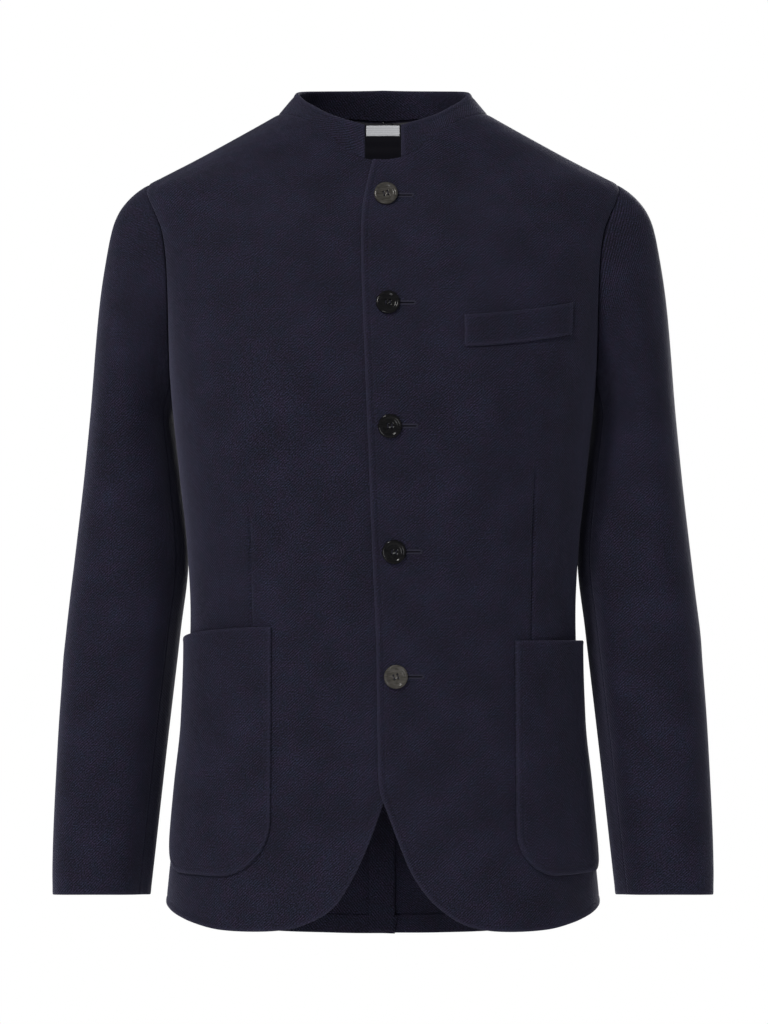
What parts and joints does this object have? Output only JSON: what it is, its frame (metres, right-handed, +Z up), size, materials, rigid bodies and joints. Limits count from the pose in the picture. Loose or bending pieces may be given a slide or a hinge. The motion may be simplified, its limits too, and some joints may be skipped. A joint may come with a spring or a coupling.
{
  "type": "twill jacket with stand collar",
  "caption": "Men's single-breasted wool twill jacket with a stand collar, buttoned front, breast welt, patch pockets, rounded front corners and a back vent, hollow as when worn.",
  "frame": {"origin": "centre of the neck base, level with the back of the neck seam, where the wearer's neck passes through", "axes": "+X to the wearer's left, +Y to the wearer's back, +Z up"},
  "size_m": [0.589, 0.2629, 0.7752],
  "materials": {
    "twill": "matt navy wool twill, faintly heathered",
    "lining": "black satin lining",
    "label": "woven grey-white label, blank",
    "button": "polished dark horn look"
  },
  "bodies": {
    "root": {"front_left": "twill", "front_right": "twill", "back_left": "twill", "back_right": "twill", "sleeve_top_left": "twill", "sleeve_under_left": "twill", "sleeve_top_right": "twill", "sleeve_under_right": "twill", "collar": "twill", "pocket_right": "twill", "pocket_left": "twill", "breast_welt": "twill", "yoke_lining": "lining", "neck_label": "label", "button_1": "button", "button_2": "button", "button_3": "button", "button_4": "button", "button_5": "button"}
  },
  "joints": []
}
